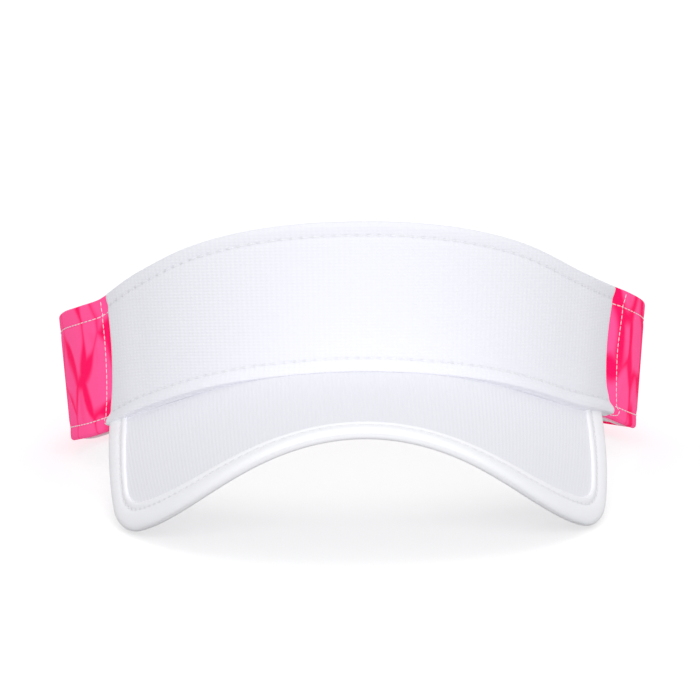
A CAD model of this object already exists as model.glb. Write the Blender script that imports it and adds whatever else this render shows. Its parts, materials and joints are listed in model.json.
# %% [markdown]
# # A sun visor, sewn in Blender
#
# The CAD frame holds the visor's sizes, its layers as plain solids, and the joints that let the
# side bands flex and the closure peel. It has no cloth yet. This script dresses it: every solid is
# replaced by a thin sheet that is cut flat, bent to shape, hemmed and stitched, as a real visor is.

# %% Load the frame
import json
from math import atan2, copysign, cos, degrees, exp, hypot, pi, radians, sin, sqrt, tan

import bmesh
import bpy
import numpy as np
from mathutils import Matrix, Vector


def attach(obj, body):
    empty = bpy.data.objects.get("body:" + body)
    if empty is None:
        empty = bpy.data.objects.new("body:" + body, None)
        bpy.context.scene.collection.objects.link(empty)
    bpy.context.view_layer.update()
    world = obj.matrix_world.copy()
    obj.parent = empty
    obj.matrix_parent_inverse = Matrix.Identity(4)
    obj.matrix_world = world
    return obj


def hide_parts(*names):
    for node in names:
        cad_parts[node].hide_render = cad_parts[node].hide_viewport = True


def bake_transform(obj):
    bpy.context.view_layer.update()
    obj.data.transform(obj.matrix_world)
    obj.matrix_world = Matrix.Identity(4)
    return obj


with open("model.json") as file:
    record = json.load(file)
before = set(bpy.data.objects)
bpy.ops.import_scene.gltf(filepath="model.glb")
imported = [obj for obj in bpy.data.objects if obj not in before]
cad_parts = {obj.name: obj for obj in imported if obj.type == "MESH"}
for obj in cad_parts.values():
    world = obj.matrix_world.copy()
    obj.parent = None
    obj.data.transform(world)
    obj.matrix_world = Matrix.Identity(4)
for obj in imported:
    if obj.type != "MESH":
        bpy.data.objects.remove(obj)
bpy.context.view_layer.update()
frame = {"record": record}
joints = {joint["name"]: joint for joint in frame["record"]["behaviour"]["joints"]}
MM = 0.001

# %% [markdown]
# ## The ring
#
# The front panel and the side bands are one flared ring round the head. Its plan is a chain of
# arcs, drawn on a plane that tips down towards the back. A place on the ring is given by three
# lengths in millimetres: how far along the cloth, counted from the middle of the front and
# negative on the wearer's right; how high, measured along the ring's leaning axis; and how far
# out from the ring's outer face. The hinge at the temple fixes the ring in the frame.

# %% The ring's plan
FRONT_RADIUS, FRONT_END = 96.0, 62.0
SIDE_RADIUS, SIDE_START = 108.0, 59.0
REAR_RADIUS = 132.0
FLARE = tan(radians(5))

hinge = Vector(joints["left_band_flex"]["pos_m"]) / MM
tilt_axis = joints["left_band_flex"]["axis"]
TILT = atan2(tilt_axis[1], tilt_axis[2])


def turned(centre, radius, direction):
    """Point on an arc of the plan; direction 0 looks forwards, in degrees."""
    a = radians(direction)
    return (centre[0] + radius * sin(a), centre[1] - radius * cos(a))


front_centre = (0.0, FRONT_RADIUS)
temple = turned(front_centre, FRONT_RADIUS, FRONT_END)
side_centre = turned(temple, -SIDE_RADIUS, SIDE_START)
widest = turned(side_centre, SIDE_RADIUS, 90)
back_step = widest[1] - temple[1]
corner_radius = (REAR_RADIUS**2 - widest[0] ** 2 - back_step**2) / (REAR_RADIUS - widest[0]) / 2
corner_centre = (widest[0] - corner_radius, widest[1])
corner_end = 180 - degrees(atan2(corner_centre[0], back_step))
rear_centre = (0.0, temple[1])
ARCS = (
    (front_centre, FRONT_RADIUS, 0, FRONT_END),
    (side_centre, SIDE_RADIUS, SIDE_START, 90),
    (corner_centre, corner_radius, 90, corner_end),
    (rear_centre, REAR_RADIUS, corner_end, 240),
)
SEAM_Y = hinge.y - temple[1] * cos(TILT)
SEAM_Z = hinge.z + temple[1] * sin(TILT)
TEMPLE = FRONT_RADIUS * radians(FRONT_END)
BACK = TEMPLE + sum(r * radians(last - first) for _, r, first, last in ARCS[1:3])
BACK += REAR_RADIUS * radians(180 - corner_end)
HEAD = Vector((0, SEAM_Y + 90, 50))


# The ring's skew begins ahead of the temples and fades before the back; the right side loses most.
SKEW, SKEW_LOST, SKEW_EASE = 1.5, 0.75, 40
SKEW_AHEAD, SKEW_RISE = 26, 28
SKEW_REAR, SKEW_FADE = 45, 60


def smoothstep(t):
    t = min(max(t, 0.0), 1.0)
    return t * t * (3 - 2 * t)


def skew(along):
    """How much higher the ring is sewn on the wearer's left, from the temples to the back."""
    s = abs(along)
    shift = SKEW * smoothstep((s - TEMPLE + SKEW_AHEAD) / SKEW_RISE)
    shift *= smoothstep((BACK - SKEW_REAR - s) / SKEW_FADE)
    if along > 0:
        return shift
    return -shift * (1 - SKEW_LOST * smoothstep((s - TEMPLE) / SKEW_EASE))


def ring(along, level, offset=0.0, skewed=True):
    """Place on the ring, in millimetres; level 0 is the height of the brim seam's middle."""
    if skewed:
        level += skew(along)
    left = abs(along)
    for centre, radius, first, last in ARCS:
        a = radians(first) + left / radius
        if a <= radians(last):
            break
        left -= radius * radians(last - first)
    reach = radius + offset + level * FLARE
    x = copysign(1, along) * (centre[0] + reach * sin(a))
    m = centre[1] - reach * cos(a)
    y = SEAM_Y + m * cos(TILT) + level * sin(TILT)
    return Vector((x, y, SEAM_Z - m * sin(TILT) + level * cos(TILT)))


def from_back(angle):
    """How far along the ring an angle from the middle of the back is, towards the wearer's left."""
    return BACK - REAR_RADIUS * radians(angle)


print(f"ring: temple {TEMPLE:.0f} mm along, middle of the back {BACK:.0f} mm")

# %% [markdown]
# The ring's top and bottom edges are curves in the side view. Each is drawn smoothly through a
# few heights, and the level where the ring crosses it is found once for every millimetre of
# cloth, by halving an interval.

# %% The ring's edges
TOP_EDGE = (
    (-10, 102.8), (0, 99.3), (18, 88.6), (32, 78.2), (48, 68.2), (66, 61.3), (88, 54.7), (110, 49.1),
    (190, 33.6),
)
BOTTOM_EDGE = (
    (-10, 55.0), (0, 47.3), (8, 42.8), (30, 30.2), (60, 17.4), (115, 5.0), (150, 1.4), (190, 0.2),
)
HALVINGS = 22  # enough to find a place to less than a thousandth of a millimetre


def smooth_curve(knots):
    """A function that runs smoothly through knots, with a cubic between each two."""
    x, z = np.array(knots, float).T
    slope = np.gradient(z, x)

    def height(at):
        i = int(min(max(np.searchsorted(x, at) - 1, 0), len(x) - 2))
        span = x[i + 1] - x[i]
        t = (at - x[i]) / span
        near = (1 + 2 * t) * (1 - t) ** 2 * z[i] + t * (1 - t) ** 2 * span * slope[i]
        far = t * t * (3 - 2 * t) * z[i + 1] - t * t * (1 - t) * span * slope[i + 1]
        return near + far

    return height


def crossing(along, height):
    """The level where the ring's outer face crosses an edge's curve."""
    low, high = -80.0, 80.0
    for _ in range(HALVINGS):
        middle = (low + high) / 2
        spot = ring(along, middle, 0.0, False)
        if spot.z < height(spot.y - SEAM_Y):
            low = middle
        else:
            high = middle
    return (low + high) / 2


steps = range(int(BACK) + 60)  # the tab runs on past the middle of the back
top_levels = [crossing(s, smooth_curve(TOP_EDGE)) for s in steps]
bottom_levels = [crossing(s, smooth_curve(BOTTOM_EDGE)) for s in steps]


def edges_at(along):
    """The ring's bottom and top level."""
    s = abs(along)
    return np.interp(s, steps, bottom_levels), np.interp(s, steps, top_levels)


print("ring height, front:", [round(x, 1) for x in edges_at(0)])

# %% [markdown]
# ## Cutting and bending a sheet
#
# A piece of cloth starts as a flat grid. Each crossing of the grid is then moved to its place on
# the visor, and keeps two pairs of numbers for its material: where it lies on the flat cloth, so
# that a weave follows the threads, and how far it is from the two hems, so that needle holes sit
# on the stitch lines. Solidify gives the cloth its thickness towards the inside, and a small
# bevel takes the sharpness off its cut edges.

# %% Sheets of cloth
NO_HEMS = (-9, -9)  # far from any row of stitches


def facing(bm, away, inward):
    """Turns all faces to look away from a point, or towards it."""
    outwards = sum(f.calc_area() * f.normal.dot(f.calc_center_median() - away) for f in bm.faces)
    if (outwards < 0) != inward:
        bmesh.ops.reverse_faces(bm, faces=bm.faces)


def sheet(name, columns, rows, place, away=HEAD, inward=False, flip=False, weld=False):
    """A bent sheet. place(u, v) gives a place in mm, its spot on the flat cloth, and the hems."""
    bm = bmesh.new()
    bmesh.ops.create_grid(bm, x_segments=columns, y_segments=rows, size=0.5)
    cloth, hems = bm.loops.layers.uv.new("cloth"), bm.loops.layers.uv.new("hems")
    flat = {}
    for v in bm.verts:
        spot, on_cloth, from_hems = place(v.co.x + 0.5, v.co.y + 0.5)
        flat[v] = (on_cloth, from_hems)
        v.co = spot * MM
    for face in bm.faces:
        face.smooth = True
        for loop in face.loops:
            loop[cloth].uv, loop[hems].uv = flat[loop.vert]
    if weld:
        bmesh.ops.remove_doubles(bm, verts=bm.verts, dist=1e-6)
        bmesh.ops.holes_fill(bm, edges=bm.edges)
    bm.normal_update()
    if away is not None:
        facing(bm, away * MM, inward)
    elif flip:
        bmesh.ops.reverse_faces(bm, faces=bm.faces)
    return bring_in(name, bm)


def bring_in(name, bm):
    """Makes an object of a bmesh."""
    mesh = bpy.data.meshes.new(name)
    bm.to_mesh(mesh)
    bm.free()
    piece = bpy.data.objects.new(name, mesh)
    bpy.context.scene.collection.objects.link(piece)
    return piece


def thicken(piece, thick, rounding=0.2):
    """Gives a sheet its thickness towards the inside, and soft edges."""
    solid = piece.modifiers.new("Thickness", "SOLIDIFY")
    solid.thickness, solid.offset = thick * MM, -1
    soft = piece.modifiers.new("Soft edges", "BEVEL")
    soft.width, soft.segments = rounding * MM, 2
    soft.limit_method, soft.angle_limit = "ANGLE", radians(60)
    return piece


def declare(piece, rests_on=(), cut=None):
    """Tells the frame how large the cloth was cut: the sheet's own size before its thickness."""
    if cut is None:
        uv = np.array([d.uv for d in piece.data.uv_layers["cloth"].data])
        cut = uv.max(axis=0) - uv.min(axis=0)
    width, length = (side * MM for side in cut)
    area = sum(p.area for p in piece.data.polygons)
    length = max(length, area / width / 0.999)
    list(rests_on)
    print(f"{piece.name}: cut {width * 1000:.0f} x {length * 1000:.0f} mm")


HEM_ROWS, FOLD_ROWS = 5, 9


def hemmed_rows(body, hem, tuck, outside):
    """Rows of a cloth that is turned in at its top and bottom edge: share of height, shift, offset.

    They start at the hem inside, go up over the top fold, down the outside and under the bottom.
    """
    r = body / 2
    rows = [(1, -hem + (hem - r) * k / HEM_ROWS, -body) for k in range(HEM_ROWS)]
    fold = np.linspace(0, pi, FOLD_ROWS)
    rows += [(1, -r + r * sin(a), -r - r * cos(a)) for a in fold]
    for k in range(1, outside):
        share = 1 - k / outside
        rows.append((share, r * (1 - 2 * share), 0.0))
    rows += [(0, r - r * sin(a), -r + r * cos(a)) for a in fold]
    rows += [(0, r + (tuck - r) * k / 2, -body) for k in (1, 2)]
    return rows


def hemmed_spot(along, row, face, tucked=0.0, out=0.0):
    """Where a row of a hemmed cloth lies; face() shapes its outside, out moves its folds."""
    share, shift, offset = row
    low, high = edges_at(along)
    low, high = low + tucked, high - tucked
    level = low + share * (high - low) + shift
    hems = (high - level, level - low)
    if offset == 0:
        return ring(along, level, face(along, *hems)), (along, level), hems
    return ring(along, level, offset + out), (along, level), NO_HEMS


def strip(name, start, end, levels, offset, thick, columns=40, rows=12, inward=True, rests=()):
    """A plain strip on the ring, between two places along it and the two levels at each place."""
    def place(u, v):
        along = start + (end - start) * u
        low, high = levels(along)
        level = low + v * (high - low)
        return ring(along, level, offset), (along, level), NO_HEMS

    piece = sheet(name, columns, rows, place, inward=inward)
    declare(piece, rests)
    return thicken(piece, thick, min(0.2, thick / 3))


def inside_edges(low_gap, high_gap):
    """Levels that stay clear of the ring's bottom and top edge."""
    return lambda along: (edges_at(along)[0] + low_gap, edges_at(along)[1] - high_gap)


def above_bottom(low_gap, height):
    return lambda along: (edges_at(along)[0] + low_gap, edges_at(along)[0] + height)


# %% [markdown]
# ## Stitches
#
# A machine stitch is a short piece of thread that sinks into the cloth at both ends. Hundreds of
# them are needed, so each is one small stretched ball of a few dozen faces. A row is given as a
# function of the distance sewn, and the stitches are set a pitch apart along it.

# %% Rows of stitches
PITCH, THREAD = 3.5, 0.34
BINDING_PITCH = 3.2


def stitch_row(name, path, length, pitch=PITCH, thread=THREAD):
    """Stitches along path(distance), which gives a place and the way out of the cloth, in mm."""
    bm = bmesh.new()
    count = max(1, round(length / pitch))
    for k in range(count):
        here, out = path((k + 0.5) * length / count)
        ahead, _ = path((k + 0.5) * length / count + 0.5)
        run = (ahead - here).normalized()
        out = (out - run * out.dot(run)).normalized()
        turn = Matrix((run, out.cross(run), out)).transposed().to_4x4()
        size = Matrix.Diagonal((pitch * 0.46, thread * 0.5, thread * 0.4, 1))
        place = Matrix.Translation(here * MM) @ turn @ Matrix.Scale(MM, 4) @ size
        bmesh.ops.create_uvsphere(bm, u_segments=8, v_segments=6, radius=1, matrix=place)
    # The balls' poles lie along the way out, where they don't show as a star.
    for face in bm.faces:
        face.smooth = True
    return bring_in(name, bm)


def on_ring(along, level, offset, out=1):
    """A place on the ring, and the way out of the cloth there; out is -1 for the inside."""
    here = ring(along, level, offset)
    return here, ring(along, level, offset + out) - here


def ring_row(start, end, level, offset, side=1, out=1):
    """A path along the ring, from one distance to another, at the level that level(along) gives."""
    def path(distance):
        along = side * (start + distance)
        return on_ring(along, level(along), offset(along), out)
    return path, end - start


def hem_row(face, start, end, from_hem, top, lift, side=1):
    """A path that stays a distance in from the ring's top or bottom edge, on a cloth's face."""
    def level(along):
        low, high = edges_at(along)
        return high - from_hem if top else low + from_hem

    def offset(along):
        low, high = edges_at(along)
        return face(along, high - level(along), level(along) - low) + lift

    return ring_row(start, end, level, offset, side)


# %% [markdown]
# ## Shader maths
#
# Materials are small calculations on numbers that change over a surface. A class that wraps a
# socket lets them be written as ordinary Python: each operator adds one Math node. Every other
# node comes from one method, which takes the node's type, its settings and its inputs.

# %% A small language for materials
class Wire:
    """A socket that Python's operators work on."""

    def __init__(self, paint, socket):
        self.paint, self.socket = paint, socket

    def maths(self, operation, *others):
        return self.paint.node("Math", {"operation": operation}, (self, *others))

    def reflected(self, operation, other):
        return self.paint.node("Math", {"operation": operation}, (other, self))


SIGNS = {"add": "ADD", "sub": "SUBTRACT", "mul": "MULTIPLY", "truediv": "DIVIDE", "pow": "POWER"}
for sign, name in SIGNS.items():
    setattr(Wire, f"__{sign}__", lambda self, other, name=name: self.maths(name, other))
    setattr(Wire, f"__r{sign}__", lambda self, other, name=name: self.reflected(name, other))


class Paint:
    """A material with one Principled shader."""

    def __init__(self, name, slot, **values):
        self.material = bpy.data.materials.new(name)
        self.material.use_nodes = True
        self.slot = slot
        self.tree = self.material.node_tree
        self.shader = self.tree.nodes["Principled BSDF"]
        for socket, value in values.items():
            self.shader.inputs[socket.replace("_", " ")].default_value = value

    def node(self, kind, settings=None, inputs=(), output=0):
        made = self.tree.nodes.new("ShaderNode" + kind)
        for setting, value in (settings or {}).items():
            setattr(made, setting, value)
        pairs = inputs.items() if isinstance(inputs, dict) else enumerate(inputs)
        for socket, value in pairs:
            self.put(value, made.inputs[socket])
        return Wire(self, made.outputs[output])

    def put(self, value, socket):
        if isinstance(value, Wire):
            self.tree.links.new(value.socket, socket)
        else:
            socket.default_value = value

    def spot(self, layer):
        """The two numbers that a piece keeps in one of its UV layers, in millimetres."""
        both = self.node("UVMap", {"uv_map": layer})
        apart = self.node("SeparateXYZ", None, (both,))
        return apart, Wire(self, apart.socket.node.outputs[1])

    def place(self):
        """Object coordinates."""
        return self.node("TexCoord", None, (), "Object")

    def spread(self, value, low, high, to_low=0.0, to_high=1.0):
        """Maps low..high smoothly to to_low..to_high."""
        names = ("Value", "From Min", "From Max", "To Min", "To Max")
        inputs = dict(zip(names, (value, low, high, to_low, to_high)))
        return self.node("MapRange", {"interpolation_type": "SMOOTHSTEP"}, inputs)

    def wave(self, turns):
        """0 to 1 and back once for each whole turn."""
        return (turns * (2 * pi)).maths("COSINE") * 0.5 + 0.5

    def noise(self, vector, scale, detail=2.0, output=0):
        """Soft random hills; output 1 is three of them at once, as a vector."""
        return self.node("TexNoise", None, {"Vector": vector, "Scale": scale, "Detail": detail}, output)

    def blend(self, factor, first, second):
        """A mix of two colours."""
        made = self.node("Mix", {"data_type": "RGBA"}, {0: factor}, 2)
        for value, index in ((first, 6), (second, 7)):
            self.put(value if isinstance(value, Wire) else (*value, 1), made.socket.node.inputs[index])
        return made

    def finish(self, colour=None, rough=None, height=None, depth=0.1):
        """Joins what varies over the surface to the shader; depth is the bump's, in mm."""
        if colour is not None:
            self.put(colour, self.shader.inputs["Base Color"])
        if rough is not None:
            self.put(rough, self.shader.inputs["Roughness"])
        if height is not None:
            inputs = {"Strength": 1.0, "Distance": depth * MM, "Height": height}
            self.put(self.node("Bump", None, inputs), self.shader.inputs["Normal"])
        return self

    def on(self, piece):
        """Puts the material on a piece."""
        piece.data.materials.clear()
        piece.data.materials.append(self.material)
        return piece


def tone(red, green, blue):
    """A colour from screen values of 0 to 255."""
    return tuple(((c / 255 + 0.055) / 1.055) ** 2.4 if c > 10 else c / 3295 for c in (red, green, blue))


# %% [markdown]
# ## Cloths
#
# The white panel is a ribbed cloth: fine ribs run across it, crossed by fainter columns. The
# brim has the same cloth with its ribs running from back to front. The threads are far too fine
# to model, so they are bumps, at their real pitch, from the cloth's own flat coordinates. Along
# each stitch line the needle pulls the cloth down, and that small dark dimple is what makes
# white thread on white cloth visible at all.

# %% White ribbed cloth
WHITE = tone(241, 241, 246)
SHADOWED = tone(206, 207, 214)


def needle_holes(paint, along, away, row, pitch=PITCH):
    """1 in the holes between the stitches of a row, fading to 0."""
    near = 1 - paint.spread((away - row).maths("ABSOLUTE"), 0.1, 0.5)
    return near * paint.wave(along / pitch) ** 4


def groove(paint, away, row, width=1.1):
    """1 along a stitch row, fading to 0."""
    return 1 - paint.spread((away - row).maths("ABSOLUTE"), 0.0, width)


def ribbed(name, slot, rib, column, ribs_across, rows):
    """Ribbed cloth; rows are the stitch rows, as (which hem, distance)."""
    paint = Paint(name, slot, Roughness=0.85, Sheen_Weight=0.15, Sheen_Roughness=0.4)
    u, v = paint.spot("cloth")
    across, along = (v, u) if ribs_across else (u, v)
    ribs = paint.wave(across / rib)
    columns = paint.wave(along / column)
    fuzz = paint.noise(paint.place(), 1500.0, 3.0)
    height = ribs * 0.35 + columns * 0.35 + columns * ribs * 0.4 + fuzz * 0.25
    dark = (1 - ribs) * 0.03 + (1 - columns) * 0.03
    hems = paint.spot("hems")
    for hem, distance in rows:
        holes = needle_holes(paint, u, hems[hem], distance)
        line = groove(paint, hems[hem], distance)
        height = height - holes * 1.5 - line * 0.6
        dark = dark + holes * 0.42 + line * 0.08
    colour = paint.blend(dark.maths("MINIMUM", 1.0), WHITE, SHADOWED)
    return paint.finish(colour, None, height, 0.065)


PANEL_TOP_ROW, PANEL_BOTTOM_ROW = 4.6, 5.4
panel_cloth = ribbed(
    "Ribbed panel cloth", "panel_cloth", 1.05, 1.7, True,
    ((0, PANEL_TOP_ROW), (1, PANEL_BOTTOM_ROW)),
)
brim_cloth = ribbed("Ribbed brim cloth", "brim_cloth", 1.4, 0.8, False, ())
print("ribbed cloths made")

# %% [markdown]
# The binding round the brim is a smooth satin weave: a faint diagonal grain and a broad soft
# shine, with short puckers across it where the thread draws it in.

# %% Satin binding
BINDING_ROW = 5.6


def satin():
    paint = Paint("Satin binding", "binding_cloth", Roughness=0.42, Sheen_Weight=0.1)
    u, v = paint.spot("cloth")
    grain = paint.wave((u + v) / 0.55)
    warp = paint.node("CombineXYZ", None, (u * 0.5, v * 0.08, 0.0))
    pucker = paint.noise(warp, 0.9, 2.0)
    line = groove(paint, v, BINDING_ROW, 1.0)
    holes = needle_holes(paint, u, v, BINDING_ROW, BINDING_PITCH)
    height = grain * 0.12 + pucker * 0.9 * (0.2 + line) - holes * 1.5 - line * 0.5
    colour = paint.blend(holes * 0.55 + line * 0.10, tone(252, 252, 254), SHADOWED)
    return paint.finish(colour, 0.42 + pucker * 0.12, height, 0.12)


binding_cloth = satin()

# %% [markdown]
# The side bands are printed in two pinks, like dye drawn through wet cloth. Tall light cells are
# parted by darker veins with soft, wandering edges. A Voronoi pattern gives the distance to the
# cells' borders, and noise bends it and varies the veins' width.

# %% Marbled pink
LIGHT_PINK, DEEP_PINK = tone(255, 85, 150), tone(255, 0, 94)
BAND_TOP_ROW, BAND_BOTTOM_ROW = 6.0, 4.5
NEON = 0.29  # the dye is fluorescent, and gives back more red light than falls on it


def marbled(name, slot, rows, seed):
    paint = Paint(name, slot, Roughness=0.8, Emission_Strength=NEON, Specular_IOR_Level=0.08)
    u, v = paint.spot("cloth")
    flat = paint.node("CombineXYZ", None, (u * 0.047, v * 0.034, seed))
    drift = paint.noise(flat, 1.1, 0.0, 1)
    sway = paint.node("VectorMath", {"operation": "SCALE"}, {"Vector": drift, "Scale": 0.7})
    bent = paint.node("VectorMath", {"operation": "ADD"}, (flat, sway))
    veins = paint.node("TexVoronoi", {"feature": "DISTANCE_TO_EDGE"}, {"Vector": bent, "Scale": 1.0})
    width = paint.spread(paint.noise(flat, 1.3, 0.0), 0.3, 0.7, 0.0, 0.12)
    soft = 1 - paint.spread(veins - width, -0.05, 0.08)
    smoke = paint.spread(paint.noise(bent, 1.4, 1.0), 0.56, 0.78) * 0.45
    dark = soft.maths("MAXIMUM", smoke)
    threads = paint.wave(u / 0.5) * paint.wave(v / 0.5)
    height = threads * 0.25 + paint.noise(paint.place(), 900.0, 2.0) * 0.2
    hems = paint.spot("hems")
    for hem, distance in rows:
        height = height - groove(paint, hems[hem], distance) * 1.2
    colour = paint.blend(dark * (0.94 + threads * 0.06), LIGHT_PINK, DEEP_PINK)
    paint.put(colour, paint.shader.inputs["Emission Color"])
    return paint.finish(colour, None, height, 0.14)


BAND_ROWS = ((0, BAND_TOP_ROW), (1, BAND_BOTTOM_ROW))
band_paints = {
    1: marbled("Marbled pink, left", "pink_cloth", BAND_ROWS, 2.3),
    -1: marbled("Marbled pink, right", "pink_cloth", BAND_ROWS, 8.2),
}
tab_paint = marbled("Marbled pink, tab", "pink_cloth", (), 5.1)

# %% [markdown]
# The rest are plain: lining, twill tape, towelling, hook and loop, labels and thread. Each gets
# the bump of its own weave.

# %% Plain cloths, tapes and thread
def woven(name, slot, colour, pitch, rough=0.85, depth=0.08):
    """A plain weave: over and under, in both directions."""
    paint = Paint(name, slot, Roughness=rough, Sheen_Weight=0.1)
    u, v = paint.spot("cloth")
    weave = paint.wave(u / pitch) * paint.wave(v / pitch)
    shade = paint.noise(paint.place(), 60.0, 3.0)
    mixed = paint.blend(weave * 0.25 + shade * 0.15, colour, tuple(c * 0.86 for c in colour))
    return paint.finish(mixed, None, weave + shade * 0.3, depth)


def twill(name, slot, colour):
    """Tape with a herringbone of slanting ribs."""
    paint = Paint(name, slot, Roughness=0.8)
    u, v = paint.spot("cloth")
    zigzag = (v / 4).maths("PINGPONG", 0.5) * 4
    ribs = paint.wave((u + zigzag) / 0.9)
    return paint.finish(paint.blend(ribs * 0.3, tuple(c * 0.85 for c in colour), colour), None, ribs, 0.1)


def looped(name, slot, colour, size, depth):
    """Towelling and loop pile: a bed of small rounded tufts."""
    paint = Paint(name, slot, Roughness=0.95, Sheen_Weight=0.4, Sheen_Roughness=0.6)
    tufts = paint.node("TexVoronoi", {"feature": "F1"}, {"Vector": paint.place(), "Scale": 1000 / size})
    fluff = paint.noise(paint.place(), 2500.0, 3.0)
    mound = 1 - tufts + fluff * 0.5
    return paint.finish(paint.blend(tufts, colour, tuple(c * 0.84 for c in colour)), None, mound, depth)


lining_cloth = woven("White lining", "lining_cloth", tone(240, 240, 241), 0.6)
label_cloth = woven("Blank label", "label", tone(248, 248, 248), 0.45, 0.6, 0.05)
tape_cloth = twill("Twill tape", "tape", tone(240, 240, 240))
towelling = looped("Towelling", "towelling", tone(250, 250, 248), 1.1, 0.35)
loop_pile = looped("Loop pile", "hook_and_loop", tone(238, 238, 238), 0.6, 0.4)
thread_paint = Paint("White thread", "tape", Roughness=0.5, Base_Color=(*tone(250, 250, 251), 1))
fibres = thread_paint.noise(thread_paint.place(), 4000.0, 2.0)
thread_paint.finish(thread_paint.blend(fibres, tone(252, 252, 253), tone(230, 230, 234)), None, fibres, 0.05)


def hooked():
    """Hooks in close straight rows."""
    paint = Paint("Hook tape", "hook_and_loop", Roughness=0.45)
    u, v = paint.spot("cloth")
    pins = (paint.wave(u / 1.4) * paint.wave(v / 1.1)) ** 3
    colour = paint.blend(pins, tone(214, 214, 214), tone(246, 246, 246))
    return paint.finish(colour, None, pins, 0.5)


hook_tape = hooked()


def sew(piece, paint, body, *replaced):
    """Material, body and the CAD nodes that a piece stands for."""
    paint.on(piece)
    if body:
        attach(piece, body)
    if replaced:
        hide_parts(*replaced)
    return piece


# %% [markdown]
# ## The front panel
#
# The panel's cloth is turned over the stiffener at the top, and rolled under along the brim.
# Its ends lap over the side bands in a shallow inward curve, with the lower corner rounded. The
# rows of the sheet follow the cloth: up the hem inside, over the top, down the front, and under.
# Below the lower row of stitches the cloth puffs out a little before it rolls under.

# %% Front panel
PANEL_BODY, PANEL_HEM, PANEL_TUCK = 2.4, 13, 3.5
# How far each end reaches past the temple, is hollowed, slants, and swells above its corner.
PANEL_ENDS = {1: (3.4, 5.2, 1.4, 2.6), -1: (-1.2, 5.6, 6.0, 0.6)}
END_CORNER = 5.0
PANEL_PROUD, PROUD_AHEAD, PROUD_RISE = 0.45, 26, 14
LIP_MIDDLE, LIP_MORE = 0.9, 0.7
panel_rows = hemmed_rows(PANEL_BODY, PANEL_HEM, PANEL_TUCK, 64)


def panel_end(side, share, height):
    """How far along the panel ends: hollow in the middle, and rounded at the lower corner."""
    reach, bow, slant, lobe = PANEL_ENDS[side]
    hollow = bow * (1 - (2 * share - 1) ** 2) + slant * share**3
    hollow -= lobe * exp(-(((height - 4) / 4) ** 2))
    short = END_CORNER - min(max(height, 0.0), END_CORNER)
    corner = END_CORNER - sqrt(END_CORNER**2 - short**2)
    return TEMPLE + reach - hollow - corner * 0.6


def hollows(distance, row, depth=0.22, width=1.3):
    """How far a row of stitches draws the cloth in."""
    return depth * exp(-(((distance - row) / width) ** 2))


def proud(along):
    """How far the panel's ends stand out, over the bands under them."""
    return PANEL_PROUD * smoothstep((abs(along) - TEMPLE + PROUD_AHEAD) / PROUD_RISE)


def panel_face(along, from_top, from_bottom):
    """How far the panel's outside stands out from the ring."""
    lip = LIP_MIDDLE + LIP_MORE * smoothstep((abs(along) - 25) / 35)
    roll = lip * smoothstep((PANEL_BOTTOM_ROW + 0.3 - from_bottom) / 3.5)
    hem = 0.15 * smoothstep((PANEL_TOP_ROW - from_top) / 3)
    drawn = hollows(from_top, PANEL_TOP_ROW) + hollows(from_bottom, PANEL_BOTTOM_ROW)
    return roll + hem + proud(along) - drawn


def panel_place(u, v):
    row = panel_rows[round(v * (len(panel_rows) - 1))]
    across = 2 * u - 1
    low, high = edges_at(across * TEMPLE)
    height = row[0] * (high - low) + row[1]
    along = across * panel_end(1 if across > 0 else -1, height / (high - low), height)
    return hemmed_spot(along, row, panel_face, 0.0, proud(along) * (row[2] > -PANEL_BODY))


panel = sheet("front_panel_cloth", 150, len(panel_rows) - 1, panel_place)
declare(panel, ["front_panel_buckram"])
thicken(panel, 0.6)
sew(panel, panel_cloth, "crown", "front_panel_shell")


reach = TEMPLE - 4
lining = strip("front_panel_lining_cloth", -reach, reach, inside_edges(2, 3), -1.75, 0.25, 110, 24)
sew(lining, lining_cloth, "crown", "front_panel_lining")

# %% Rows of stitches on the panel
def panel_row(name, from_hem, top):
    first, last = (panel_end(side, 0.9 if top else 0.12, 99) - 1 for side in (-1, 1))
    path, length = hem_row(panel_face, -first, last, from_hem, top, 0.08)
    sew(stitch_row(name, path, length), thread_paint, "crown")


panel_row("panel_top_stitches", PANEL_TOP_ROW, True)
panel_row("panel_bottom_stitches", PANEL_BOTTOM_ROW, False)
print("panel sewn")

# %% [markdown]
# ## The brim
#
# The brim is cut flat: a wide arc at the tip, a tighter arc at each corner, and nearly straight
# sides. It is then bent round arches that tighten towards the tip. A place on it is given by how
# far across and how far back it is on the flat cut, and how deep below the top cloth.

# %% The brim's shape
BRIM_LENGTH, BRIM_REAR = 71.0, 46.0
ARCH_REAR, ARCH_REAR_AT, ARCH_NARROWING = 127.7, 50.0, 0.58
CROWN_HEIGHT, CROWN_SLOPE = 50.6, 0.107
TIP_RADIUS, CORNER_RADIUS = 115.0, 30.0
SIDE_LINE, SIDE_SLOPE = 94.9, -0.1
UNDER = 2.7
SEAM_DIP, SEAM_DIP_REACH = 2.2, 30.0


def bend(across, back):
    """A place of the flat brim's top, once bent."""
    radius = ARCH_REAR + ARCH_NARROWING * (back - ARCH_REAR_AT)
    a = across / radius
    top = CROWN_HEIGHT + CROWN_SLOPE * back
    dip = SEAM_DIP * exp(-((across / SEAM_DIP_REACH) ** 2)) * (1 + back / BRIM_LENGTH)
    return Vector((radius * sin(a), SEAM_Y + back, top - dip - radius + radius * cos(a)))


def brim_up(across, back):
    """The way out of the brim's top."""
    side = bend(across + 0.2, back) - bend(across - 0.2, back)
    forth = bend(across, back + 0.2) - bend(across, back - 0.2)
    return side.cross(forth).normalized()


def brim_place(across, back, depth=0.0):
    return bend(across, back) - brim_up(across, back) * depth


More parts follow.
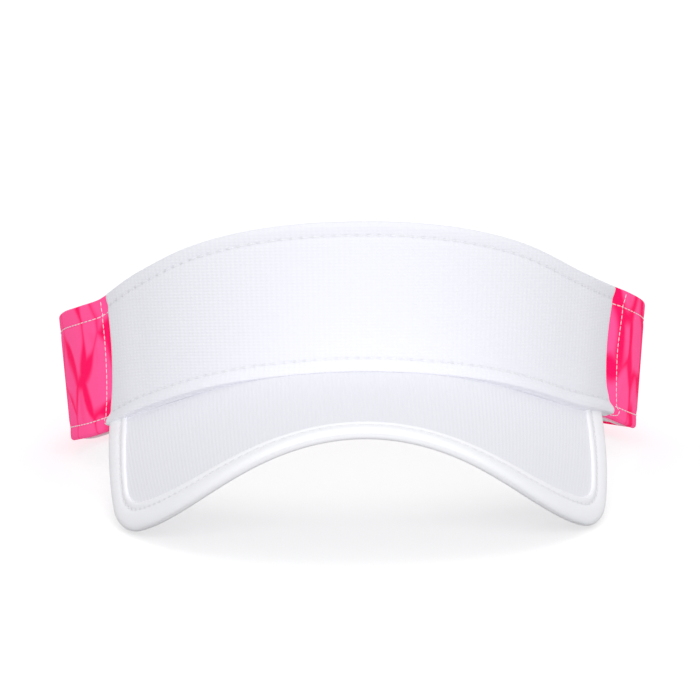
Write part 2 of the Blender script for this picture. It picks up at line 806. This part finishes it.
def out_of_ring(spot):
    """How far a place is outside the ring's outer face, at the front."""
    y, z = spot.y - SEAM_Y, spot.z - SEAM_Z
    level, m = y * sin(TILT) + z * cos(TILT), y * cos(TILT) - z * sin(TILT)
    return hypot(spot.x, m - FRONT_RADIUS) - FRONT_RADIUS - level * FLARE


def seam_back(across, tuck=0.0):
    """Where the flat brim meets the panel."""
    ahead, behind = -20.0, 70.0
    for _ in range(HALVINGS):
        middle = (ahead + behind) / 2
        if out_of_ring(bend(across, middle)) > -tuck:
            ahead = middle
        else:
            behind = middle
    return (ahead + behind) / 2


def half_outline(inset):
    """The flat outline of one half, moved inwards, from the tip to the temple."""
    tip_back = TIP_RADIUS - BRIM_LENGTH
    lean = atan2(-SIDE_SLOPE, 1)
    side = SIDE_LINE * cos(lean) - CORNER_RADIUS
    turn = (side - tip_back * sin(lean)) / (TIP_RADIUS - CORNER_RADIUS)
    bearing = degrees(np.arcsin(turn)) + degrees(lean)
    corner = turned((0, tip_back), TIP_RADIUS - CORNER_RADIUS, bearing)
    points = [turned((0, tip_back), TIP_RADIUS - inset, bearing * k / 40) for k in range(41)]
    sweep = 90 + degrees(lean) - bearing
    points += [turned(corner, CORNER_RADIUS - inset, bearing + sweep * k / 20) for k in range(1, 21)]
    across, back = points[-1]
    while back < BRIM_REAR and out_of_ring(bend(across, back)) > -0.6:
        back += 0.5
        across += SIDE_SLOPE * 0.5
        points.append((across, back))
    return np.array(points)


outlines = {}


def rim(t, inset):
    """Place on the flat outline: t runs from the right temple, round the tip, to the left one."""
    key = round(inset, 3)
    if key not in outlines:
        half = half_outline(key)
        whole = np.concatenate([half[::-1] * (-1, 1), half[1:]])
        run = np.concatenate([[0], np.cumsum(np.linalg.norm(np.diff(whole, axis=0), axis=1))])
        outlines[key] = (whole, run)
    whole, run = outlines[key]
    at = t * run[-1]
    return np.interp(at, run, whole[:, 0]), np.interp(at, run, whole[:, 1]), at - run[-1] / 2


print("brim edge:", round(2 * rim(1, 0)[2]), "mm round")

# %% [markdown]
# The top and under cloths run from the seam to just under the binding. The binding itself is one
# strip carried round the edge. Its cross-section starts at the folded-in edge on top, which makes
# a raised ridge, dips at the stitch row, wraps the edge, and comes back to the same on the underside.

# %% Brim cloths and binding
TUCK = 1.2
COVER_INSET = 5.0


def brim_sheet_place(depth, inset):
    def place(u, v):
        across, back, _ = rim(u, inset)
        end = rim(1, inset)[0]
        seam_across = (2 * u - 1) * end * 0.999
        seam = seam_back(seam_across, TUCK)
        x = seam_across + (across - seam_across) * v
        y = seam + (back - seam) * v
        return brim_place(x, y, depth), (x, y), NO_HEMS
    return place


BELOW = Vector((0, SEAM_Y - 20, -150))
for side, depth in (("top", 0.0), ("under", UNDER)):
    place = brim_sheet_place(depth, COVER_INSET)
    cover = sheet(f"brim_{side}_cloth", 140, 44, place, away=BELOW, inward=side == "under")
    declare(cover, ["brim_board"])
    sew(thicken(cover, 0.5, 0.1), brim_cloth, "crown", f"brim_{side}_cover")

# Distance in from the edge, and depth below the top cloth.
BINDING_SECTION = (
    (8.1, 0.15), (8.15, -0.1), (8.0, -0.45), (7.6, -0.7), (7.1, -0.78), (6.6, -0.7), (6.2, -0.53),
    (5.9, -0.42), (5.6, -0.36), (5.3, -0.42), (4.9, -0.55), (4.2, -0.68), (3.2, -0.74), (2.2, -0.72),
    (1.2, -0.6), (0.4, -0.3), (-0.15, 0.15), (-0.42, 0.75), (-0.5, 1.35), (-0.42, 1.95), (-0.15, 2.55),
    (0.4, 3.0), (1.2, 3.3), (2.2, 3.42), (3.2, 3.44), (4.2, 3.38), (4.9, 3.25), (5.3, 3.12), (5.6, 3.06),
    (5.9, 3.12), (6.3, 3.3), (6.8, 3.42), (7.4, 3.35), (7.9, 3.1), (8.05, 2.8), (8.0, 2.55),
)
girth = [0.0]
for (e0, d0), (e1, d1) in zip(BINDING_SECTION, BINDING_SECTION[1:]):
    girth.append(girth[-1] + hypot(e1 - e0, d1 - d0))


def binding_place(u, v):
    k = round(v * (len(BINDING_SECTION) - 1))
    inset, depth = BINDING_SECTION[k]
    across, back, run = rim(u, inset)
    on_top = inset if depth < 1.35 else -9
    return brim_place(across, back, depth), (run, on_top if on_top > -9 else -girth[k]), NO_HEMS


binding = sheet(
    "brim_binding_cloth", 220, len(BINDING_SECTION) - 1, binding_place, away=None, flip=True,
)
declare(binding, ["brim_board"], (girth[-1], 2 * rim(1, 3.0)[2]))
sew(thicken(binding, 0.35, 0.1), binding_cloth, "crown", "brim_edge_binding")


def brim_row(name, inset, depth, under=False):
    length = 2 * rim(1, inset)[2]

    def path(distance):
        across, back, _ = rim(min(distance / length, 1.0), inset)
        out = brim_up(across, back) * (-1 if under else 1)
        return brim_place(across, back, depth), out

    sew(stitch_row(name, path, length - 2, BINDING_PITCH, 0.36), thread_paint, "crown")


brim_row("binding_stitches", BINDING_ROW, -0.38)
brim_row("binding_stitches_under", BINDING_ROW, 3.08, True)
print("brim covered and bound")

# %% [markdown]
# ## The side bands
#
# Each band is pink cloth turned in over a fusing at both edges, with a white lining inside. Its
# front end slips under the panel's edge and is sewn down behind it. The temple is where the
# visor flexes, so the cloth there follows the panel in front of the joint and the band behind it.

# %% Side bands
BAND_BODY, BAND_HEM, BAND_TUCK = 2.0, 9, 8
LAP = 17.0
LINING_START, TAPE_START, TAPE_END = TEMPLE - 6, TEMPLE - 9.8, TEMPLE + 7
COVERED = {1: TEMPLE, -1: TEMPLE - 6}
band_rows = hemmed_rows(BAND_BODY, BAND_HEM, BAND_TUCK, 44)
JOINT_ROW = {1: 9.0, -1: -1.0}
bodies = {1: "left_band", -1: "right_band"}
names = {1: "left", -1: "right"}
band_ends = {1: from_back(0.0), -1: from_back(12.5)}


def band_face(along, from_top, from_bottom):
    """How far the band's outside stands out from the ring."""
    side, s = (1 if along > 0 else -1), abs(along)
    edge, row = COVERED[side], TEMPLE + JOINT_ROW[side]
    dip = -0.8 * (1 - smoothstep((s - edge + 1) / 12))
    strip = 0.3 * smoothstep((s - edge + 4) / 3) * smoothstep((row + 1.5 - s) / 3)
    drawn = hollows(from_top, BAND_TOP_ROW) + hollows(from_bottom, BAND_BOTTOM_ROW)
    return dip + strip - drawn


def band_place(side):
    start, end = TEMPLE - LAP, band_ends[side]

    def place(u, v):
        along = side * (start + (end - start) * u)
        tucked = 1.7 * (1 - smoothstep((abs(along) - COVERED[side] + 5) / 4))
        return hemmed_spot(along, band_rows[round(v * (len(band_rows) - 1))], band_face, tucked)

    return place


def across_joint(piece, side):
    """Bends a piece over the temple joint."""
    start = ring(side * (TEMPLE - 3), 0) * MM
    end = ring(side * (TEMPLE + 24), 0) * MM
    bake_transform(piece)
    return piece


def lining_levels(along):
    """The lining hangs a little below the band near the temple."""
    low, high = edges_at(along)
    return low + 1.0 - 1.5 * (1 - smoothstep((abs(along) - TEMPLE - 12) / 40)), high - 3.0


for side in (1, -1):
    name, body = names[side], bodies[side]
    band = sheet(f"{name}_band_cloth", 130, len(band_rows) - 1, band_place(side))
    declare(band, [f"{name}_fusing_sheet"])
    thicken(band, 0.45)
    sew(band, band_paints[side], None, f"{name}_side_band")
    across_joint(band, side)
    start, end = side * LINING_START, side * (band_ends[side] - 1.2)
    lining = strip(f"{name}_lining_cloth", start, end, lining_levels, -2.4, 0.35, 100, 20)
    across_joint(sew(lining, lining_cloth, None, f"{name}_band_lining"), side)
    start, end = side * TAPE_START, side * TAPE_END
    tape = strip(f"{name}_seam_tape", start, end, inside_edges(1.5, 2.5), -2.8, 0.35, 12, 20)
    across_joint(sew(tape, tape_cloth, None, f"{name}_joint_tape"), side)

# %% Rows of stitches on the bands
BAND_PITCH, BAND_THREAD = 3.3, 0.4
JOINT_PITCH = 1.9


def band_row(side, name, from_hem, top, start, end):
    path, length = hem_row(band_face, start, end, from_hem, top, 0.1, side)
    row = stitch_row(name, path, length, BAND_PITCH, BAND_THREAD)
    across_joint(sew(row, thread_paint, None), side)


# How far behind the temple, and how high above the bottom edge as a share and then in mm.
JOINT_PATHS = {
    1: (
        (11.8, 1, -1.2), (9.9, 0.88, 0), (8.2, 0.72, 0), (7.1, 0.5, 0), (8.2, 0.25, 0), (10.1, 0, 5.4),
        (12.8, 0, 3.6), (12.2, 0, 2.2), (8.5, 0, 1.3), (2.0, 0, 0.9),
    ),
    -1: (
        (-2.4, 1, -1.2), (-2.6, 0.86, 0), (-2.8, 0.65, 0), (-2.0, 0.4, 0), (-0.2, 0.22, 0), (1.2, 0, 5.4),
        (2.4, 0, 3.8), (1.0, 0, 2.0), (-3.5, 0, 1.2),
    ),
}


def joint_row(side):
    """The row behind the panel's edge, which hooks forwards at its foot."""
    spots, knots = [], JOINT_PATHS[side]
    curves = [smooth_curve(list(enumerate(column))) for column in zip(*knots)]
    for k in np.linspace(0, len(knots) - 1, 160):
        behind, share, height = (curve(k) for curve in curves)
        along = side * (TEMPLE + behind)
        low, high = edges_at(along)
        level = low + share * (high - low) + height
        offset = band_face(along, high - level, level - low) + 0.1
        here, out = on_ring(along, level, offset)
        spots.append((*here, *out))
    spots = np.array(spots)
    run = np.concatenate([[0], np.cumsum(np.linalg.norm(np.diff(spots[:, :3], axis=0), axis=1))])

    def path(distance):
        at = [np.interp(distance, run, column) for column in spots.T]
        return Vector(at[:3]), Vector(at[3:])

    row = stitch_row(f"{names[side]}_joint_stitches", path, run[-1] - 0.6, JOINT_PITCH)
    across_joint(sew(row, thread_paint, None), side)


for side in (1, -1):
    name, end = f"{names[side]}_band", band_ends[side] - 2
    band_row(side, name + "_top_stitches", BAND_TOP_ROW, True, COVERED[side] - 2, end)
    start = TEMPLE + JOINT_ROW[side]
    band_row(side, name + "_bottom_stitches", BAND_BOTTOM_ROW, False, start, end)
    joint_row(side)
print("bands sewn")

# %% [markdown]
# ## The closure
#
# Behind the head the right band ends in a tab that laps over the left band. Hooks inside the tab
# grip a patch of loops. The tab's root is sewn flat on its own band and steps up to the height of
# the patches, and the whole strip bends there when the tab is peeled back.

# %% Closure
TAB_LOW, TAB_HIGH = -13.0, 12.0
TAB_TIP = 9.0
PATCH = 0.8
TAB_OUT = 3.1
anchor_start, tab_root, tab_tip = -21.0, -12.4, 20.0
DEGREE = REAR_RADIUS * radians(1)  # the length of one degree at the back


def tab_height(angle):
    """How much the tab's tip is rounded off, at an angle from the middle of the back."""
    left = TAB_TIP - (tab_tip - angle) * DEGREE
    return TAB_TIP - sqrt(TAB_TIP**2 - left**2) if left > 0 else 0.0


def tab_face(angle):
    """The strip steps from the band's face up to the height of the patches."""
    return 1.1 + (TAB_OUT - 1.1) * smoothstep((angle - anchor_start - 3) / 5)


def tab_place(u, v):
    angle = anchor_start + (tab_tip - anchor_start) * (1 - (1 - u) ** 1.35)
    cut = tab_height(angle)
    level = TAB_LOW + cut + v * (TAB_HIGH - TAB_LOW - 2 * cut)
    along = from_back(angle)
    return ring(along, level, tab_face(angle)), (along, level), NO_HEMS


def peels(piece):
    """Bends a piece at the tab's root."""
    start = ring(from_back(tab_root - 1.5), 0, TAB_OUT) * MM
    end = ring(from_back(tab_root + 2.5), 0, TAB_OUT) * MM
    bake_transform(piece)
    return piece


tab = sheet("closure_tab_cloth", 90, 20, tab_place)
declare(tab, ["hook_patch"])
peels(sew(thicken(tab, 0.95, 0.35), tab_paint, None, "closure_tab", "tab_anchor"))

loops = strip(
    "loop_pile_patch", from_back(1.0), from_back(27.0), lambda along: (-12, 11),
    0.05 + PATCH, PATCH, 60, 20, False, ["left_side_band"],
)
sew(loops, loop_pile, "left_band", "loop_patch")

hooks = strip(
    "hook_tape_patch", from_back(1.5), from_back(18.5), lambda along: (-8, 7),
    0.45 + PATCH, PATCH - 0.05, 40, 16, True, ["closure_tab"],
)
sew(hooks, hook_tape, "closure", "hook_patch")


# %% Stitches on the closure
def tab_border(name, start, end, inset, body):
    """A row round the part of the strip between two angles."""
    width, low, high = (end - start) * DEGREE, TAB_LOW + inset, TAB_HIGH - inset
    corners = ((start, low), (end, low), (end, high), (start, high), (start, low))
    run = np.cumsum((0, width, high - low, width, high - low))

    def path(distance):
        angle, level = (np.interp(distance % run[-1], run, column) for column in zip(*corners))
        cut = tab_height(angle + inset / DEGREE) if end > 10 else 0
        level = min(max(level, low + cut), high - cut)
        return on_ring(from_back(angle), level, tab_face(angle) + 0.08)

    return sew(stitch_row(name, path, run[-1], 3.0, 0.45), thread_paint, body)


tab_border("tab_root_stitches", anchor_start + 0.9, tab_root - 2.2, 2.2, "right_band")
peels(tab_border("tab_border_stitches", tab_root + 1.5, tab_tip - 2.4 / DEGREE, 2.2, None))
print("closure sewn")

# %% [markdown]
# ## Inside the crown
#
# The sweatband is a foam strip in a towelling cover, sewn along the brim seam. It is a padded
# piece: its cross-section is a rounded, slightly crowned box, closed all round and at both ends.
# Two blank labels sit inside, one on the sweatband and one on the left lining.

# %% Sweatband, tape and labels
SWEAT_END = FRONT_RADIUS * radians(56)
SWEAT_LOW, SWEAT_HIGH = 0.8, 28.0
SWEAT_OUT, SWEAT_IN = -2.7, -5.0
SWEAT_COUNT = 40  # places round the section
SWEAT_ROW = 4  # from its top edge


def rounded(value, power):
    """Squares off a sine, so that it stays near 1 or -1 for longer."""
    return copysign(abs(value) ** power, value) if abs(value) > 1e-9 else 0.0


def sweat_place(u, v):
    a = 2 * pi * (round(v * SWEAT_COUNT) % SWEAT_COUNT) / SWEAT_COUNT
    half, thick = (SWEAT_HIGH - SWEAT_LOW) / 2, (SWEAT_OUT - SWEAT_IN) / 2
    middle = (SWEAT_OUT + SWEAT_IN) / 2
    up, out = rounded(sin(a), 0.35), rounded(cos(a), 0.5)
    height = SWEAT_LOW + half + half * up
    offset = middle + thick * out - 0.2 * (1 - up * up) * (out < 0)
    along = (2 * u - 1) * SWEAT_END
    tip = sqrt(max(0.0, 1 - max(0.0, (abs(along) - SWEAT_END + 3) / 3) ** 2))
    offset = middle + (offset - middle) * max(tip, 0.25)
    level = edges_at(along)[0] + height
    drawn = 0.35 * exp(-(((height - SWEAT_HIGH + SWEAT_ROW) / 1.2) ** 2)) * (offset < middle)
    return ring(along, level, offset + drawn), (along, level), NO_HEMS


sweatband = sheet("sweatband_towelling", 130, SWEAT_COUNT, sweat_place, weld=True)
sew(sweatband, towelling, "crown", "sweatband_cover")
path, length = ring_row(
    -SWEAT_END + 4, SWEAT_END - 4,
    lambda s: edges_at(s)[0] + SWEAT_HIGH - SWEAT_ROW, lambda s: SWEAT_IN + 0.1, out=-1,
)
sew(stitch_row("sweatband_stitches", path, length), thread_paint, "crown")

size_end = FRONT_RADIUS * radians(8)
size_tag = strip("size_tag", -size_end, size_end, lambda along: (7, 21), SWEAT_IN - 0.32, 0.25, 16, 12)
sew(size_tag, label_cloth, "crown", "size_label")
care_start = TEMPLE + SIDE_RADIUS * radians(31) + corner_radius * radians(10)
care_end = care_start + corner_radius * radians(12)
care_tag = strip("care_tag", care_start, care_end, lambda along: (-12, 4), -2.68, 0.25, 16, 12)
sew(care_tag, label_cloth, "left_band", "care_label")
print("inside finished")

# %% [markdown]
# ## What stays hidden
#
# The board, the stiffeners, the foam and the seam tape don't show, but a worn or cut visor has
# them, so each is a plain sheet of its own, clear of the cloth round it, with a finish to suit.

# %% Hidden layers
def speckled(name, slot, colour, scale, rough, depth):
    paint = Paint(name, slot, Roughness=rough)
    grain = paint.noise(paint.place(), scale, 4.0)
    return paint.finish(paint.blend(grain, colour, tuple(c * 0.8 for c in colour)), None, grain, depth)


foam_paint = speckled("Open-cell foam", "foam", tone(238, 237, 230), 900.0, 0.95, 0.4)
board_paint = speckled("Brim board", "board", tone(232, 232, 232), 300.0, 0.6, 0.05)
buckram_paint = speckled("Stiffened buckram", "buckram", tone(236, 235, 228), 1400.0, 0.9, 0.2)

board = sheet("brim_board_sheet", 60, 24, brim_sheet_place(0.65, 1.2), away=BELOW)
declare(board, ["brim_under_cloth"])
sew(thicken(board, 1.3), board_paint, "crown", "brim_board")

reach = LINING_START
stiffener = strip("panel_stiffener", -reach, reach, inside_edges(1.5, 1.6), -0.8, 0.6, 60, 16, False)
sew(stiffener, buckram_paint, "crown", "front_panel_buckram")
for side in (1, -1):
    name, end = names[side], side * (band_ends[side] - 1.5)
    levels = inside_edges(1.2, 1.4)
    fusing = strip(f"{name}_fusing_sheet", side * reach, end, levels, -0.8, 0.5, 60, 12, False)
    across_joint(sew(fusing, buckram_paint, None, f"{name}_band_fusing"), side)

tape = strip("seam_tape_strip", -SWEAT_END, SWEAT_END, above_bottom(1.0, 10), -2.62, 0.18, 60, 4)
sew(tape, tape_cloth, "crown", "brim_seam_tape")
reach = SWEAT_END - 4
foam = strip("sweatband_foam", -reach, reach, above_bottom(3.5, SWEAT_HIGH - 3), -4.3, 1.1, 60, 8)
sew(foam, foam_paint, "crown", "sweatband_pad")
print("hidden layers made")

# %% [markdown]
# ## Floor, light and camera
#
# The visor stands on a white sheet in soft light from all round, with a large light in front, one
# behind and one above. The floor seems to give off light of its own, as a lit sweep does, which
# keeps its shadows pale; only the camera sees that glow, so it doesn't light the visor from below.
# The camera is far back with a long lens, so the visor keeps its proportions.

# %% Floor
FLOOR_GLOW = 0.52


def floor():
    bm = bmesh.new()
    bmesh.ops.create_grid(bm, x_segments=1, y_segments=1, size=6)
    plane = bring_in("floor", bm)
    paint = Paint("White sweep", "tape", Roughness=1.0)
    grain = paint.noise(paint.place(), 40.0, 2.0)
    paint.finish(paint.blend(grain * 0.02, (0.6, 0.6, 0.6), (0.58, 0.58, 0.58)))
    paint.shader.inputs["Specular IOR Level"].default_value = 0.0
    glow = paint.node("Emission", None, {"Strength": FLOOR_GLOW})
    both = paint.node("AddShader", None, (Wire(paint, paint.shader.outputs[0]), glow))
    seen = Wire(paint, paint.node("LightPath").socket.node.outputs["Is Camera Ray"])
    shown = paint.node("MixShader", None, (seen, Wire(paint, paint.shader.outputs[0]), both))
    paint.put(shown, paint.tree.nodes["Material Output"].inputs["Surface"])
    plane.data.materials.append(paint.material)


floor()


# %% Light
def softbox(name, place, aim, size, power, colour=(1, 1, 1)):
    """A large soft light, set at a place and turned to what it lights, in metres."""
    light = bpy.data.lights.new(name, "AREA")
    light.shape, light.size, light.energy, light.color = "DISK", size, power, colour
    lamp = bpy.data.objects.new(name, light)
    lamp.location = place
    lamp.rotation_euler = (Vector(aim) - Vector(place)).to_track_quat("-Z", "Y").to_euler()
    bpy.context.scene.collection.objects.link(lamp)


AIM = (0, SEAM_Y * MM, 0.05)
softbox("front light", (0.1, -2.2, 0.9), AIM, 1.2, 26, (0.985, 0.985, 1.0))
softbox("back light", (0, 2.5, 0.8), AIM, 2.0, 14)
softbox("top light", (0, -0.1, 2.2), AIM, 1.4, 7)

world = bpy.data.worlds.new("studio")
world.use_nodes = True
bpy.context.scene.world = world
sky = world.node_tree
sky.nodes.clear()
rays = sky.nodes.new("ShaderNodeLightPath")
pick, out = sky.nodes.new("ShaderNodeMixShader"), sky.nodes.new("ShaderNodeOutputWorld")
sky.links.new(rays.outputs["Is Camera Ray"], pick.inputs[0])
# The sky that lights the visor is dimmer than the one that the camera sees.
for k, strength, colour in ((1, 0.61, (0.97, 0.98, 1.0, 1)), (2, 1.1, (1, 1, 1, 1))):
    dome = sky.nodes.new("ShaderNodeBackground")
    dome.inputs["Strength"].default_value = strength
    dome.inputs["Color"].default_value = colour
    sky.links.new(dome.outputs[0], pick.inputs[k])
sky.links.new(pick.outputs[0], out.inputs[0])
bpy.context.scene.view_settings.view_transform = "Standard"

# %% Camera
ELEVATION, TURN, ROLL = 10.73, 1.13, 0.47
DISTANCE, LENS = 1500.0, 236.9
AIM_RIGHT, AIM_UP = -2.8, 15.3
target = Vector((0, SEAM_Y, 40))


def stand_camera():
    e, t, r = radians(ELEVATION), radians(TURN), radians(ROLL)
    right = Vector((cos(t), -sin(t), 0))
    up = Vector((sin(t) * sin(e), cos(t) * sin(e), cos(e)))
    place = target - up.cross(right) * DISTANCE
    right, up = right * cos(r) - up * sin(r), right * sin(r) + up * cos(r)
    away = place - (target + right * AIM_RIGHT + up * AIM_UP)
    away.normalize()
    up = (up - away * up.dot(away)).normalized()
    turn = Matrix((up.cross(away), up, away)).transposed().to_4x4()
    lens = bpy.data.cameras.new("camera")
    lens.lens, lens.sensor_width = LENS, 36
    camera = bpy.data.objects.new("camera", lens)
    camera.matrix_world = Matrix.Translation(place * MM) @ turn
    bpy.context.scene.collection.objects.link(camera)
    bpy.context.scene.camera = camera


stand_camera()
